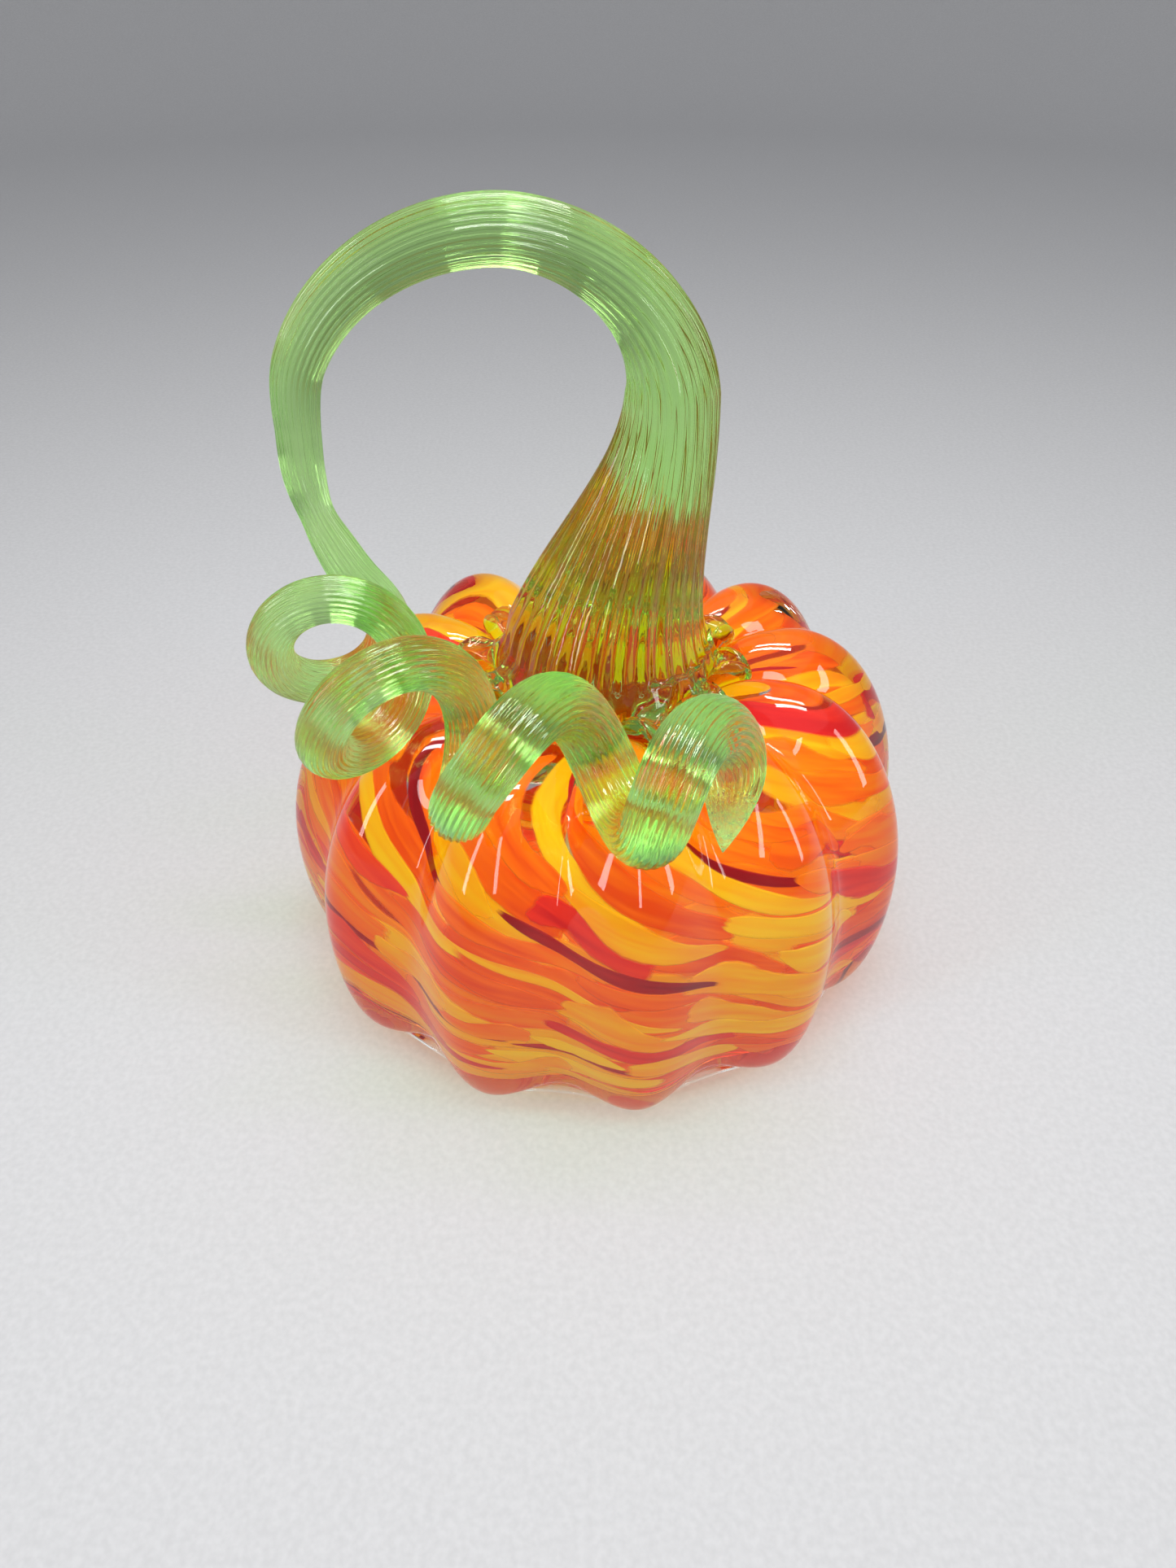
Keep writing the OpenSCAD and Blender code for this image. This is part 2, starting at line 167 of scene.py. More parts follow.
wall_columns = columns_per_rib * rib_count
wall_azimuth = rib_azimuth + 360 * np.arange(wall_columns) / wall_columns
base_u, rib_end_u = np.linspace(0.06, 0.94, 14), np.linspace(0.96, 1.3, 16)
side_u, shoulder_u = np.linspace(1.34, 2, 16)[:-1], np.linspace(2, 3, 40)
skin_u = np.concatenate([base_u, rib_end_u, side_u, shoulder_u])
foot_u = foot_edge_u(wall_azimuth)
skin_rows = [np.full(wall_columns, u) for u in skin_u]
skin_rows += [mix(3, foot_u, k / dip_rows) for k in range(1, dip_rows + 1)]
skin_rows += [mix(foot_u, 4, k / seam_rows) for k in range(1, seam_rows + 1)]
inside_u = [np.linspace(4, 3, 12), np.linspace(3, 1, 40)[1:], np.linspace(1, 0.05, 16)[1:]]
wall_rings = [wall_point(u, wall_azimuth, 0) for u in skin_rows]
wall_rings += [wall_point(u, wall_azimuth, wall_t, inside_ribbing, inside_sharpness)
               for u in np.concatenate(inside_u)]
wall_ends = [[0, 0, outline(np.zeros(1), inset)[1][0]] for inset in (0, wall_t)]
wall_points = np.concatenate([wall_ends[:1], np.concatenate(wall_rings), wall_ends[1:]])
wall = mesh_piece("clear_wall", wall_points, skin_faces(len(wall_rings), wall_columns))


class Flow:
    """A socket in a finish's nodes. Sums of flows and numbers add the Math nodes that work them out."""

    def __init__(self, socket):
        self.socket = socket
        self.tree = socket.id_data

    @classmethod
    def node(cls, tree, kind, settings=None, inputs=None, output=0):
        """Adds any other node: its type, its settings, then the values or flows of its sockets."""
        made = tree.nodes.new("ShaderNode" + kind)
        for name, value in (settings or {}).items():
            if name == "stops":
                for k, (place, colour) in enumerate(value):
                    stop = made.color_ramp.elements[k] if k < 2 else made.color_ramp.elements.new(place)
                    stop.position, stop.color = place, colour
            else:
                setattr(made, name, value)
        for name, value in (inputs or {}).items():
            if isinstance(value, Flow):
                tree.links.new(value.socket, made.inputs[name])
            else:
                made.inputs[name].default_value = value
        return cls(made.outputs[output])

    def math(self, operation, *values):
        return Flow.node(self.tree, "Math", {"operation": operation}, dict(enumerate((self,) + values)))

    def __add__(self, other):
        return self.math("ADD", other)

    def __mul__(self, other):
        return self.math("MULTIPLY", other)

    def __sub__(self, other):
        return self.math("SUBTRACT", other)

    def __rsub__(self, other):
        return Flow.node(self.tree, "Math", {"operation": "SUBTRACT"}, {0: other, 1: self})

    __radd__, __rmul__ = __add__, __mul__


def new_finish(name):
    """An empty material, its nodes and its output node."""
    finish = bpy.data.materials.new(name)
    finish.use_nodes = True
    finish.node_tree.nodes.clear()
    return finish, finish.node_tree, finish.node_tree.nodes.new("ShaderNodeOutputMaterial")


def lit_within(tree, glass, for_lamps, for_matt):
    """Glass as it is seen. Light from lamps and from matt things meets the other two instead, so
    that what lies inside the glass is lit."""
    lamp_ray = Flow.node(tree, "LightPath", output="Is Shadow Ray")
    matt_ray = Flow.node(tree, "LightPath", output="Is Diffuse Ray")
    shown = Flow.node(tree, "MixShader", inputs={0: lamp_ray, 1: glass, 2: for_lamps})
    return Flow.node(tree, "MixShader", inputs={0: matt_ray, 1: shown, 2: for_matt})


def glass_finish(name, hue, passing, surface, mark_depth):
    """Fire-polished glass. Its surface gives the height of the marks in it and its roughness, and
    where it has melted into other glass there is nothing to see."""
    finish, tree, out = new_finish(name)
    marks, rough = surface(tree)
    relief = Flow.node(tree, "Bump", inputs={"Height": marks, "Strength": 1.0, "Distance": mark_depth})
    glass = Flow.node(tree, "BsdfPrincipled", inputs={
        "Base Color": hue, "Roughness": rough, "IOR": glass_bend, "Transmission Weight": 1.0,
        "Normal": relief})
    clear = Flow.node(tree, "BsdfTransparent", inputs={"Color": passing})
    shown = lit_within(tree, glass, clear, clear)
    melted = Flow.node(tree, "Attribute", {"attribute_name": "melted"}, output="Fac")
    through = Flow.node(tree, "BsdfTransparent", inputs={"Color": (1, 1, 1, 1)})
    shown = Flow.node(tree, "MixShader", inputs={0: melted, 1: shown, 2: through})
    tree.links.new(shown.socket, out.inputs["Surface"])
    return finish, tree, out


def melted_rows(piece, around, rows):
    """Marks the rows of faces where this glass has melted into the glass beside it."""
    marks = np.zeros(len(piece.data.polygons))
    for row in rows:
        marks[around * (row + 1):around * (row + 2)] = 1
    piece.data.attributes.new("melted", "FLOAT", "FACE").data.foreach_set("value", marks)


def casing_surface(tree):
    """Faint cords in smooth glass."""
    place = Flow.node(tree, "TexCoord", output="Object")
    cords = Flow.node(tree, "TexNoise", inputs={"Vector": place, "Scale": casing_cord_scale, "Detail": 2.0})
    return cords, 0.0


wall_glass, _, _ = glass_finish("clear_glass", clear_hue, clear_passing, casing_surface, casing_cord_depth)
wall.data.materials.append(wall_glass)
first_seam = len(skin_u) + dip_rows - 1
melted_rows(wall, wall_columns, range(first_seam, first_seam + seam_rows + 1))
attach(wall, "root")
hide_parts("outer_casing", "inner_bubble")

# Coloured chips
# Slivers of opaque orange, yellow, red and dark red glass, picked up on the hot bubble in two
# rollings and pulled into streaks as it was turned: steep at the crown and nearly level low down.
layer_ribbing, layer_sharpness = 0.4, 2
strand_top, strand_foot, strand_bottom, strand_steps = 3.84, 0.62, 0.28, 260
strand_swirl, swirl_power, least_mm_per_u = 265, 1.75, 8
chip_t, chip_row, fewest_rows, shortest_chip = 0.4, 2.2, 9, 8
full_width_r, full_depth_half, rim_steepness = 48, 1.5, 5
wobble, wobble_waves = 0.18, (1, 2.4)
sway, sway_waves, tilt = 0.2, 0.9, 0.045
streak_length, streak_width = 26, 2.4
latest_start, low_shortening, overlapped = 30, 0.4, (0.7, 1.0)
yellow_side, yellow_more = 15, 0.35
level_step, level_count = 2, 5
rollings = [
    {"strands": 36, "inset": (casing_t + 1.2, casing_t + 2.4), "missed": 0.12, "gaps": (10, 20),
     "ends": (0.15, 0.4), "lengths": (30, 85), "orange": (0.56, 8.5, 12.5), "yellow": (0.36, 7.5, 12),
     "red": (0.08, 7, 10.5), "dark_red": (0, 3, 5)},
    {"strands": 26, "inset": (casing_t + 0.2, casing_t + 1.15), "missed": 0.16, "gaps": (20, 50),
     "ends": (0.2, 0.9), "lengths": (22, 72), "orange": (0.34, 4, 9), "yellow": (0.33, 3, 9),
     "red": (0.24, 3.5, 8.5), "dark_red": (0.09, 1.5, 3.6)},
]
chip_tones = {
    "orange": ((0.86, 0.06, 0.002, 1), (1, 0.13, 0.002, 1), (1, 0.24, 0.003, 1)),
    "yellow": ((1, 0.24, 0.003, 1), (1, 0.37, 0.003, 1), (1, 0.51, 0.008, 1)),
    "red": ((0.64, 0.012, 0.012, 1), (0.84, 0.028, 0.014, 1), (0.97, 0.07, 0.014, 1)),
    "dark_red": ((0.16, 0.002, 0.004, 1), (0.32, 0.004, 0.007, 1), (0.55, 0.014, 0.01, 1)),
}
tone_stops = (0.15, 0.5, 0.9)
chip_glow = {
    "orange": (0.99, 0.91, 0.8, 1),
    "yellow": (0.99, 0.95, 0.82, 1),
    "red": (0.98, 0.84, 0.78, 1),
    "dark_red": (0.92, 0.7, 0.66, 1),
}
glow_share = 0.85
tone_shift_along, tone_shift_through = 60, 35
tone_part, streak_part, tone_low = 0.55, 1.3, 0.42
rim_part, ragged_part, rim_low, rim_contrast = 1.7, 0.8, 0.46, 3.5
chance = np.random.default_rng(31)

run_u = np.linspace(strand_top, strand_bottom, strand_steps)
run_r, run_z = outline(run_u, casing_t)
fallen = np.concatenate([[0], np.cumsum(np.hypot(np.diff(run_r), np.diff(run_z)))])
crown_at = np.interp(-3, -run_u, fallen)
foot_at = np.interp(-strand_foot, -run_u, fallen)
swirl_drop = np.maximum(0, fallen - crown_at) / (foot_at - crown_at)
run_swirl = strand_swirl * swirl_drop ** swirl_power
swirl_rate = np.gradient(np.radians(run_swirl), fallen) * run_r
run_steps = np.hypot(1, (swirl_rate[1:] + swirl_rate[:-1]) / 2) * np.diff(fallen)
run_mm = np.concatenate([[0], np.cumsum(run_steps)])

chip_half = np.array([0.96, 0.72, 0.38, 0, -0.38, -0.72, -0.96])
chip_across = np.concatenate([chip_half, [-1], chip_half[::-1], [1]])
chip_under = np.array([0.0] * len(chip_half) + [0.5] + [1] * len(chip_half) + [0.5])
chip_top = (chip_under == 0) & (np.roll(chip_under, -1) == 0)


def strand_point(azimuth, mm, side, inset):
    """A point mm along the strand that starts at this azimuth, and side mm to its upper right. The
    layer follows the ribs less than the skin does."""
    u, rate, r = (np.interp(mm, run_mm, values) for values in (run_u, swirl_rate, run_r))
    slant = np.hypot(1, rate)
    per_u = np.maximum(least_mm_per_u, outline_way(u, casing_t)[2])
    turned = azimuth + np.interp(mm, run_mm, run_swirl)
    u, turned = u + side * rate / slant / per_u, turned + np.degrees(side / slant / r)
    return wall_point(u, turned, inset, layer_ribbing, layer_sharpness)


def chip_points(azimuth, start, length, width, inset, ends):
    """Points of one chip and how each lies: along the strand, across it, and its share from the rim."""
    rows = max(fewest_rows, round(length / chip_row))
    f = (1 - np.cos(np.pi * np.linspace(0.03, 0.97, rows))) / 2
    uneven = 1 + wobble * np.sin(2 * np.pi * (chance.uniform(*wobble_waves) * f + chance.uniform()))
    aside = width * sway * np.sin(2 * np.pi * (sway_waves * f + chance.uniform()))
    aside += length * chance.uniform(-tilt, tilt) * (f - 0.5)
    taper = f ** chance.uniform(*ends) * (1 - f) ** chance.uniform(*ends)
    narrow = np.minimum(1, np.interp(start + length * f, run_mm, run_r) / full_width_r)
    half = width / 2 * uneven * narrow * taper / taper.max()
    across = aside[:, None] + half[:, None] * chip_across
    depth = inset + chip_t * chip_under * np.minimum(1, half / full_depth_half)[:, None]
    mm = (start + length * f)[:, None] + 0 * across
    rim = np.minimum(1 - np.abs(chip_across), rim_steepness * np.minimum(f, 1 - f)[:, None])
    rim = np.where(chip_under > 0, -1, rim)
    tips = strand_point(azimuth, start + length * np.array([0, 1.0]), aside[[0, -1]], inset)
    points = strand_point(azimuth, mm, across, depth).reshape(-1, 3)
    lay = np.stack([mm / streak_length, across / streak_width, rim], axis=-1).reshape(-1, 3)
    first_lay, last_lay = [start / streak_length, 0, 0], [(start + length) / streak_length, 0, 0]
    return np.concatenate([tips[:1], points, tips[1:]]), np.concatenate([[first_lay], lay, [last_lay]])


chip_heaps = {}
for colour in chip_tones:
    chip_heaps[colour] = {"points": [], "lay": [], "tone": [], "faces": [], "tops": [], "size": 0}
for rolling in rollings:
    for strand in range(rolling["strands"]):
        strand_azimuth = 360 * (strand + chance.uniform(-0.35, 0.35)) / rolling["strands"]
        # Strands side by side lie at different depths. The last has a depth of its own.
        level = strand * level_step % level_count
        if strand == rolling["strands"] - 1:
            level = level_count
        at = -chance.uniform(0, latest_start)
        laid = 0
        while at < run_mm[-1] - shortest_chip:
            if chance.uniform() < rolling["missed"]:
                at += chance.uniform(*rolling["gaps"])
                continue
            facing = strand_azimuth + np.interp(at, run_mm, run_swirl)
            warmth = np.array([1, 1 + yellow_more * math.cos(math.radians(facing - yellow_side)), 1, 1])
            shares = warmth * [rolling[colour][0] for colour in chip_tones]
            colour = str(chance.choice(list(chip_tones), p=shares / shares.sum()))
            length = chance.uniform(*rolling["lengths"]) * (1 - low_shortening * max(0, at) / run_mm[-1])
            width = chance.uniform(*rolling[colour][1:])
            start, end = max(0, at), min(at + length, run_mm[-1])
            if end - start > shortest_chip:
                inset = mix(*rolling["inset"], (level + laid % 2 * 0.5) / (level_count + 1))
                points, lay = chip_points(strand_azimuth, start, end - start, width, inset, rolling["ends"])
                heap = chip_heaps[colour]
                chip_rows = (len(points) - 2) // len(chip_across)
                heap["faces"] += skin_faces(chip_rows, len(chip_across), heap["size"])
                heap["tops"].append(np.tile(chip_top, chip_rows + 1))
                heap["size"] += len(points)
                heap["points"].append(points)
                heap["lay"].append(lay)
                heap["tone"].append(np.full(len(points), chance.uniform()))
            laid += 1
            at += length * chance.uniform(*overlapped)

for colour, heap in chip_heaps.items():
    chips = mesh_piece(colour + "_slivers", np.concatenate(heap["points"]), heap["faces"])
    chips.data.polygons.foreach_set("use_smooth", np.concatenate(heap["tops"]))
    tone_marks = np.concatenate(heap["tone"])
    chips.data.attributes.new("tone", "FLOAT", "POINT").data.foreach_set("value", tone_marks)
    lay_marks = np.concatenate(heap["lay"]).ravel()
    chips.data.attributes.new("lay", "FLOAT_VECTOR", "POINT").data.foreach_set("vector", lay_marks)
    finish, tree, out = new_finish(colour + "_chip_glass")
    tone = Flow.node(tree, "Attribute", {"attribute_name": "tone"}, output="Fac")
    lay = Flow.node(tree, "Attribute", {"attribute_name": "lay"}, output="Vector")
    parts = Flow.node(tree, "SeparateXYZ", inputs={0: lay})
    along, across, rim = (Flow(socket) for socket in parts.socket.node.outputs)
    pulled = Flow.node(tree, "CombineXYZ", inputs={
        "X": along + tone * tone_shift_along, "Y": across, "Z": tone * tone_shift_through})
    streak = Flow.node(tree, "TexNoise", inputs={
        "Vector": pulled, "Scale": 1.0, "Detail": 3.0, "Roughness": 0.55})
    blend = tone * tone_part + streak * streak_part - tone_low
    stops = list(zip(tone_stops, chip_tones[colour]))
    shade = Flow.node(tree, "ValToRGB", {"stops": stops}, {"Fac": blend})
    solid = (rim * rim_part + streak * ragged_part - rim_low) * rim_contrast
    solid = solid.math("MINIMUM", 1.0).math("MAXIMUM", 0.0)
    chip_glass = Flow.node(tree, "BsdfPrincipled", inputs={
        "Base Color": shade, "Roughness": 0.5, "Specular IOR Level": 0.0, "Alpha": solid})
    glow = Flow.node(tree, "BsdfTransparent", inputs={"Color": chip_glow[colour]})
    half_glow = Flow.node(tree, "MixShader", inputs={0: glow_share, 1: chip_glass, 2: glow})
    shown = lit_within(tree, chip_glass, glow, half_glow)
    tree.links.new(shown.socket, out.inputs["Surface"])
    chips.data.materials.append(finish)
    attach(chips, "root")
    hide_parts(colour + "_chips")

# Stem and tendril
# One gather of green glass, dropped on the neck hole so that its foot ran out into the grooves. It
# was drawn up out of a reeded mould into the arch, wound on a rod and snipped off to a point.
plug_gap, seam_gap = 0.3, 0.04
bell_x, bell_from, bell_power, neck_d, neck_rise = 1.6, 9.8, 1.5, 18.8, 71.5
flare_t, foot_edge_groove, foot_edge_crest = 0.12, 3.6, 1.8
arch_d, arch_right, arch_top, arch_left, arch_rise = 12.6, 13.9, 19, 60.5, 101
arch_power_right, arch_power_left, arch_taper = 1.06, 1.03, 1.5
leg_d, leg_rise, leg_pinch, leg_pull, coil_pull = 9, 64.5, 2, 80, 72
bend_reach, bend_softness, bend_lead, bend_tail, bend_fade = 26, 12, 14, 10, 20
rod_d_first, rod_d_last, thick_from, thick_over = 9.4, 12.4, 0.5, 2.5
loop_r_first, loop_r_last, loop_lift = 12.5, 9.8, 3
first_turn, last_turn, turn_step = -0.62, 3.6, 0.01
free_end, tip_length, tip_flatness = 12, 18.5, 0.5
# For each turn of the winding: its azimuth, its angle up the body, how narrow it is, and its lift.
turns = np.array([
    [-83, 75, 0, 0], [-72, 74, 0, 0], [-43, 72, 0, 0.67],
    [-18, 71, 0.48, 1], [10.5, 68, 0.89, 1], [19, 63, 1, 3.0]])
reed_count, reed_points, reed_twist = 28, 7, 0.28
reed_softness, reed_roundness, reed_unevenness = 0.05, 0.72, (0.6, 1.3)
reed_cut, reed_cut_per_d, reed_most_per_d, reed_start, reed_fade = 0.12, 0.02, 0.12, 6, 10
ring_pitch, tip_rings = 1.4, 22
green_hue, green_passing = (0.63, 0.94, 0.39, 1), (0.9, 0.97, 0.85, 1)
green_tint, green_density = (0.5, 0.933, 0.167, 1), 22.0
mark_depth, marks_along, marks_across, foot_run = 0.00013, 0.016, 0.5, 30
snip_from, snip_fade, snip_grain, snip_rough, snip_depth = 0.75, 0.5, 1000.0, 0.4, 7.0


def ease(t):
    t = np.clip(t, 0, 1)
    return t * t * (3 - 2 * t)


def rod_d(turn):
    return mix(rod_d_first, rod_d_last, ease((turn - thick_from) / thick_over))


def loop_centres():
    """Middle and radius of each turn of the winding, with one more at each end."""
    azimuth, angle, narrowed, lift = turns.T
    u = 2 + angle / 90
    r, z = outline(u, 0)
    up_r, up_z, _ = outline_way(u, 0)
    radius = mix(loop_r_first, loop_r_last, narrowed)
    out = radius + rod_d(np.arange(len(turns)) - 1.0) / 2 + lift * loop_lift
    r, z = r + up_z * out, z - up_r * out
    x, y = r * np.sin(np.radians(azimuth)), -r * np.cos(np.radians(azimuth))
    rows = np.stack([x, y, z, radius], axis=-1)
    return np.concatenate([2 * rows[:1] - rows[1:2], rows, 2 * rows[-1:] - rows[-2:-1]])


loop_rows = loop_centres()


def winding_axis(turn):
    """Middle line and radius of the winding, smooth through the middles of its turns."""
    place = np.asarray(turn, float) + 1
    i = np.clip(np.floor(place).astype(int), 0, len(turns) - 2)
    t = (place - i)[:, None]
    a, b, c, d = (loop_rows[i + k] for k in range(4))
    bow, twist = 2 * a - 5 * b + 4 * c - d, 3 * b - a - 3 * c + d
    return (2 * b + (c - a) * t + bow * t ** 2 + twist * t ** 3) / 2


def winding(turn):
    """The rod's middle line round the winding."""
    turn = np.atleast_1d(np.asarray(turn, float))
    middle = winding_axis(turn)
    way = winding_axis(turn + turn_step) - winding_axis(turn - turn_step)
    side = np.stack([way[:, 1], -way[:, 0], np.zeros(len(turn))], axis=-1)
    side /= np.linalg.norm(side, axis=1, keepdims=True)
    angle = 2 * np.pi * turn[:, None]
    return middle[:, :3] + middle[:, 3:] * (np.cos(angle) * side + np.sin(angle) * np.array([0, 0, 1]))


def end_line(mm):
    """The free end, drawn straight off the winding."""
    start = winding(last_turn)
    way = winding(last_turn + turn_step) - start
    return start + way / np.linalg.norm(way) * mm[:, None]


def neck_line(t):
    """Middle line and width of the neck, from the bell up to the arch."""
    x = mix(bell_x, arch_right, ease(t))
    z = neck_z + mix(bell_from, neck_rise, t)
    return np.stack([x, 0 * t, z], axis=-1), mix(neck_d, 2 * bell_r, (1 - t) ** bell_power)


def arch_line(t, side, rise, power):
    """One side of the arch, from its foot at 0 to its top at 1."""
    angle = np.pi / 2 * t
    x = mix(-arch_top, side, np.cos(angle) ** power)
    z = neck_z + mix(rise, arch_rise, np.sin(angle) ** power)
    return np.stack([x, 0 * t, z], axis=-1)


def leg_line(t):
    """The leg, from the arch down to the winding."""
    start = np.array([-arch_left, 0, neck_z + leg_rise])
    finish = winding(first_turn)[0]
    way = winding(first_turn + turn_step)[0] - finish
    way /= np.linalg.norm(way)
    t = t[:, None]
    line = start * (1 - ease(t)) + finish * ease(t) - way * coil_pull * t * t * (1 - t)
    return line + np.array([0, 0, -leg_pull]) * t * (1 - t) ** 2


neck_t, arch_t, leg_t = np.linspace(flare_t, 1, 56), np.linspace(0, 1, 46), np.linspace(0, 1, 50)
wind_t = np.linspace(first_turn, last_turn, 310)
end_mm = np.linspace(0, free_end, 13)[1:]
neck_points, neck_width = neck_line(neck_t[:-1])
arch_up = arch_line(arch_t, arch_right, neck_rise, arch_power_right)[:-1]
arch_down = arch_line(arch_t[::-1], -arch_left, leg_rise, arch_power_left)[:-1]
drawn_line = np.concatenate([
    neck_points, arch_up, arch_down, leg_line(leg_t)[:-1], winding(wind_t), end_line(end_mm)])
leg_width = mix(leg_d, rod_d_first, ease(leg_t)) - leg_pinch * np.sin(np.pi * leg_t) ** 2
drawn_width = np.concatenate([
    neck_width, mix(arch_d, neck_d, (1 - arch_t) ** 2)[:-1], mix(arch_d, leg_d, arch_t ** arch_taper)[:-1],
    leg_width[:-1], rod_d(wind_t), np.full(len(end_mm), rod_d_last)])
drawn_run = np.concatenate([[0], np.cumsum(np.linalg.norm(np.diff(drawn_line, axis=0), axis=1))])
leg_from = drawn_run[len(neck_t) + 2 * len(arch_t) - 3]
leg_to = drawn_run[-len(wind_t) - len(end_mm)]


def drawn_at(run):
    """The drawn line, read at these millimetres of its run."""
    return np.stack([np.interp(run, drawn_run, column) for column in drawn_line.T], axis=-1)


def eased_line(run):
    """The rod's middle line, with the bend in its leg eased as hot glass eases it."""
    offsets = np.linspace(-bend_reach, bend_reach, 2 * bend_reach + 1)
    weights = np.exp(-(offsets / bend_softness) ** 2 / 2)
    soft = sum(w * drawn_at(run + o) for o, w in zip(offsets, weights)) / weights.sum()
    share = ease((run - leg_from + bend_lead) / bend_fade) * ease((leg_to + bend_tail - run) / bend_fade)
    return mix(drawn_at(run), soft, share[:, None])


def carried_frames(line):
    """Two directions across the rod at each point of its middle line, carried along without twist."""
    ways = np.gradient(line, axis=0)
    ways[0] = [0, 0, 1]
    ways /= np.linalg.norm(ways, axis=1, keepdims=True)
    across = np.array([0.0, -1, 0])
    frames = []
    for way in ways:
        across = across - across.dot(way) * way
        across /= np.linalg.norm(across)
        frames.append((across, np.cross(way, across)))
    return np.array(frames)


end_run = drawn_run[-1] - free_end * np.linspace(1, 0.01, tip_rings)
rod_run = np.linspace(0, end_run[0], round(end_run[0] / ring_pitch))[:-1]
rod_run = np.concatenate([rod_run, end_run])
rod_line = eased_line(rod_run)
rod_frames = carried_frames(rod_line)
to_tip = np.clip((drawn_run[-1] - rod_run) / tip_length, 0, 1)
rod_width = np.interp(rod_run, drawn_run, drawn_width) * (1 - (1 - to_tip) ** 2)

stem_columns = reed_count * reed_points
stem_azimuth = rib_azimuth + 360 * np.arange(stem_columns) / stem_columns
stem_angle = np.radians(stem_azimuth)
reed_wave = np.cos(np.radians(reed_count * (stem_azimuth - rib_azimuth) / 2)) ** 2
reed = ((reed_wave + reed_softness) / (1 + reed_softness)) ** reed_roundness
reed_depth = np.repeat(chance.uniform(*reed_unevenness, reed_count), reed_points)


def rod_rings(width, frames, run):
    """Rings round the rod. The reeds of the optic mould run along it and twist slowly."""
    angle = np.radians(stem_azimuth - reed_twist * np.maximum(0, run)[:, None])[..., None]
    depth = (reed_cut + reed_cut_per_d * width) * ease((run + reed_start) / reed_fade)
    depth = np.minimum(depth, reed_most_per_d * width)[:, None] * reed_depth
    radius = width[:, None] / 2 - depth * (1 - reed)
    across = np.cos(angle) * frames[:, None, 0] + np.sin(angle) * frames[:, None, 1]
    return radius[..., None] * across


edge_u = foot_edge_u(stem_azimuth)


def foot_ring(share):
    """A ring of the foot's underside, from the neck hole at 0 to the foot's edge at 1."""
    return wall_point(mix(4, edge_u, share), stem_azimuth, 0) + np.array([0, 0, seam_gap])


plug_r, plug_bottom = neck_r - plug_gap, neck_z - wall_t
upright = np.array([0, 0, 1])
around = np.stack([np.sin(stem_angle), -np.cos(stem_angle), 0 * stem_angle], axis=-1)
up_r, up_z, _ = outline_way(edge_u, 0)
lay_out = -around * up_r[:, None] - upright * up_z[:, None]
lay_up = around * up_z[:, None] - upright * up_r[:, None]
foot_edge = mix(foot_edge_groove, foot_edge_crest, rib_lobe(stem_azimuth, tongue_sharpness))[:, None]
edge_mid = wall_point(edge_u, stem_azimuth, 0) + lay_up * (foot_edge + seam_gap)
foot_rings = [around * plug_r * share + [0, 0, plug_bottom] for share in (0.5, 0.9, 1)]
foot_rings += [around * plug_r + [0, 0, neck_z - 1]]
foot_rings += [foot_ring(0.0) * [plug_r / neck_r, plug_r / neck_r, 1]]
foot_rings += [foot_ring(share) for share in np.linspace(0.12, 1, 9)]
under_rows = len(foot_rings)
foot_rings += [edge_mid + foot_edge * (np.sin(a) * lay_out - np.cos(a) * lay_up)
               for a in np.radians(np.arange(20, 141, 20))]
edge_top = foot_rings[-1]
flare_line, flare_width = neck_line(np.array([0.0, flare_t]))
flare_frames = np.repeat(rod_frames[:1], 2, axis=0)
flare = flare_line[:, None] + rod_rings(flare_width, flare_frames, np.array([-reed_start, 0.0]))
for share in np.linspace(0, 1, 14)[1:-1]:
    from_edge, bulge, to_neck = (1 - share) ** 2, 2 * share * (1 - share), share ** 2
    foot_rings.append(from_edge * edge_top + bulge * flare[0] + to_neck * flare[1])
rod_skin = rod_rings(rod_width, rod_frames, rod_run)
rod_skin[..., 1] *= mix(1, tip_flatness, (1 - to_tip) ** 2)[:, None]
rod_skin += rod_line[:, None]
stem_rings = foot_rings + list(rod_skin)
stem_points = np.concatenate([[[0, 0, plug_bottom]], np.concatenate(stem_rings), rod_line[-1:]])
stem = mesh_piece("green_stem", stem_points, skin_faces(len(stem_rings), stem_columns))

ring_run = np.concatenate([np.linspace(-foot_run, 0, len(foot_rings)), rod_run])[:, None]
ring_r = np.concatenate([np.full(len(foot_rings), bell_r), rod_width / 2])[:, None]
drawn_marks = [marks_along * ring_run, marks_across * ring_r * np.cos(stem_angle),
               marks_across * ring_r * np.sin(stem_angle)]
drawn_marks = np.stack(np.broadcast_arrays(*drawn_marks), axis=-1)
drawn_marks = np.concatenate([drawn_marks[:1, 0], drawn_marks.reshape(-1, 3), drawn_marks[-1:, 0]])
stem.data.attributes.new("drawn", "FLOAT_VECTOR", "POINT").data.foreach_set("vector", drawn_marks.ravel())
ring_snip = np.concatenate([np.zeros(len(foot_rings)), ease((snip_from - to_tip) / snip_fade)])
snip_marks = np.concatenate([[0], np.repeat(ring_snip, stem_columns), [1]])
stem.data.attributes.new("snipped", "FLOAT", "POINT").data.foreach_set("value", snip_marks)
melted_rows(stem, stem_columns, range(2, under_rows - 1))


def drawn_surface(tree):
    """Cords drawn out along the rod, and the torn grain of the snipped tip."""
    drawn = Flow.node(tree, "Attribute", {"attribute_name": "drawn"}, output="Vector")
    cords = Flow.node(tree, "TexNoise", inputs={"Vector": drawn, "Scale": 1.0, "Detail": 2.0})
    place = Flow.node(tree, "TexCoord", output="Object")
    grain = Flow.node(tree, "TexNoise", inputs={"Vector": place, "Scale": snip_grain})
    snipped = Flow.node(tree, "Attribute", {"attribute_name": "snipped"}, output="Fac")
    return cords + snipped * grain * snip_depth, snipped * grain * snip_rough


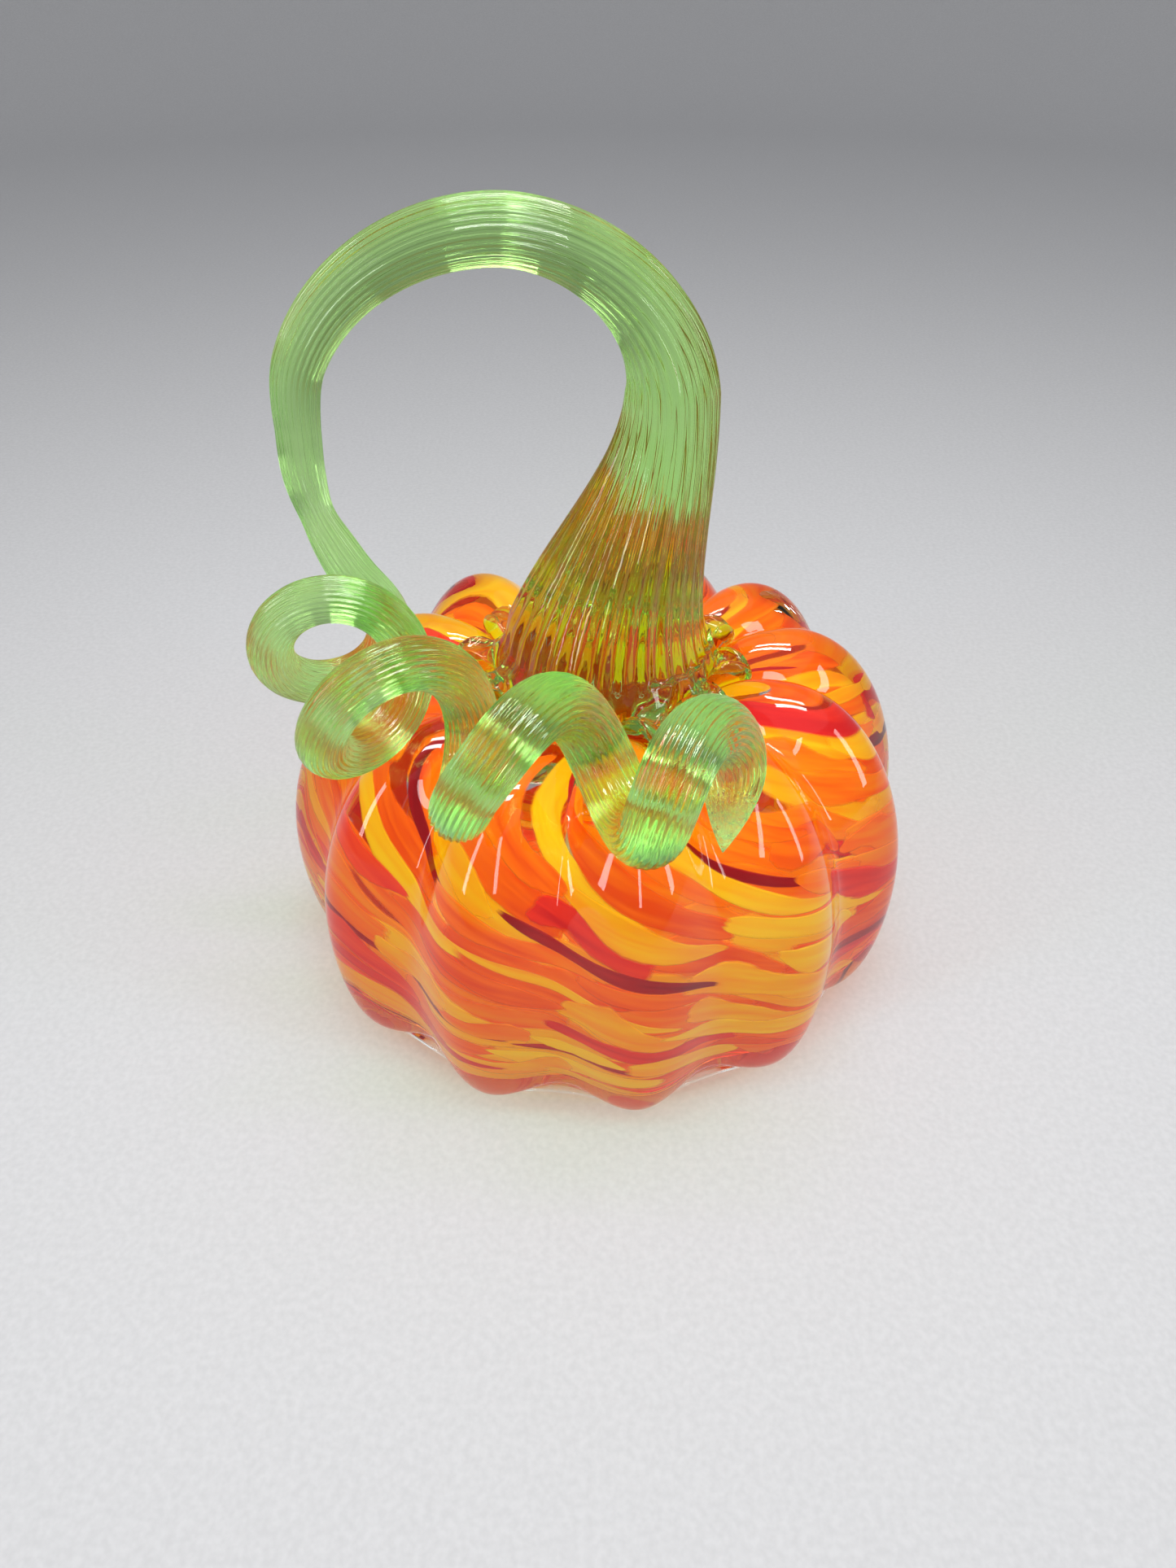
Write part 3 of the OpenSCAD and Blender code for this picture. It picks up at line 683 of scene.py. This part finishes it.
green_glass, tree, out = glass_finish("green_glass", green_hue, green_passing, drawn_surface, mark_depth)
tint = Flow.node(tree, "VolumeAbsorption", inputs={"Color": green_tint, "Density": green_density})
tree.links.new(tint.socket, out.inputs["Volume"])
stem.data.materials.append(green_glass)
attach(stem, "root")
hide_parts("stem", "tendril")

# Table and backdrop
# A plain pale sheet of paper that lies flat under the pumpkin and sweeps up all round it.
sheet_flat, sheet_bend, sheet_top, sheet_sides, sheet_drop = 1.1, 0.6, 2.0, 96, 0.0002
paper_shades = [(0.3, (0.55, 0.55, 0.555, 1)), (0.7, (0.6, 0.6, 0.605, 1))]
bend = np.radians(np.arange(6, 91, 6))
sweep = [(0.3, 0.0), (0.7, 0.0), (sheet_flat, 0.0)]
sweep += [(sheet_flat + sheet_bend * math.sin(a), sheet_bend * (1 - math.cos(a))) for a in bend]
sweep += [(sheet_flat + sheet_bend, sheet_top)]
turn = 2 * np.pi * np.arange(sheet_sides) / sheet_sides
sheet_points = [(0, 0, -sheet_drop)]
sheet_points += [(r * math.cos(a), r * math.sin(a), z - sheet_drop) for r, z in sweep for a in turn]
sheet_faces = [(0, 1 + k, 1 + (k + 1) % sheet_sides) for k in range(sheet_sides)]
for row in range(len(sweep) - 1):
    inner = 1 + row * sheet_sides
    outer = inner + sheet_sides
    for k in range(sheet_sides):
        after = (k + 1) % sheet_sides
        sheet_faces.append((inner + k, outer + k, outer + after, inner + after))
sheet_mesh = bpy.data.meshes.new("table_sheet")
sheet_mesh.from_pydata(sheet_points, [], sheet_faces)
sheet_mesh.polygons.foreach_set("use_smooth", [True] * len(sheet_mesh.polygons))
sheet = bpy.data.objects.new("table_sheet", sheet_mesh)
bpy.context.scene.collection.objects.link(sheet)
paper, tree, out = new_finish("pale_paper")
place = Flow.node(tree, "TexCoord", output="Object")
fibre = Flow.node(tree, "TexNoise", inputs={"Vector": place, "Scale": 700.0, "Detail": 2.0})
shade = Flow.node(tree, "ValToRGB", {"stops": paper_shades}, {"Fac": fibre})
matt = Flow.node(tree, "BsdfPrincipled", inputs={
    "Base Color": shade, "Roughness": 0.8, "Specular IOR Level": 0.2})
tree.links.new(matt.socket, out.inputs["Surface"])
sheet_mesh.materials.append(paper)


# Lamps and room
# Two narrow strips of light overhead, a tall narrow strip at the front and at each side, and even
# light from all round.
def panel(name, where, towards, size, power):
    """A strip lamp that faces a point."""
    lamp = bpy.data.lights.new(name, "AREA")
    lamp.shape, lamp.size, lamp.size_y, lamp.energy = "RECTANGLE", size[0], size[1], power
    holder = bpy.data.objects.new(name, lamp)
    holder.location = where
    aim = np.array(towards) - np.array(where)
    tip, swing = math.acos(-aim[2] / np.linalg.norm(aim)), math.atan2(aim[0], -aim[1]) + math.pi
    holder.rotation_euler = (tip, 0, swing)
    bpy.context.scene.collection.objects.link(holder)


room_colour, room_light = (0.93, 0.95, 1, 1), 0.58
panel("overhead_front", (0.0, -0.11, 0.6), (0, 0, 0.05), (0.36, 0.05), 1.4)
panel("overhead_back", (0.0, 0.0, 0.62), (0, 0, 0.05), (0.36, 0.05), 1.4)
panel("front_panel", (0.05, -1.25, 0.8), (0, 0, 0.06), (0.14, 0.9), 3)
panel("left_panel", (-0.85, -0.5, 0.5), (0, 0, 0.07), (0.14, 0.7), 2.4)
panel("right_panel", (0.9, -0.35, 0.45), (0, 0, 0.07), (0.14, 0.7), 2.2)
world = bpy.data.worlds.new("even_room")
world.use_nodes = True
world.node_tree.nodes["Background"].inputs["Color"].default_value = room_colour
world.node_tree.nodes["Background"].inputs["Strength"].default_value = room_light
bpy.context.scene.world = world

# Camera
# It is held close above the table and tilted down, at the photograph's angle.
picture_height, focal_pixels, film_height = 1927, 1450, 36
camera = bpy.data.cameras.new("close_camera")
camera.sensor_fit, camera.sensor_height = "VERTICAL", film_height
camera.lens = film_height * focal_pixels / picture_height
camera.clip_start = 0.01
view = bpy.data.objects.new("close_camera", camera)
view.location = (axis_x - 0.0025, axis_y - 0.226, 0.22)
view.rotation_euler = (math.radians(51.5), 0, 0)
bpy.context.scene.collection.objects.link(view)
scene = bpy.context.scene
scene.camera = view
scene.view_settings.view_transform = "Standard"
scene.cycles.max_bounces = 28
scene.cycles.transmission_bounces = 24
scene.cycles.glossy_bounces = 8
scene.cycles.transparent_max_bounces = 48
scene.cycles.use_denoising = True
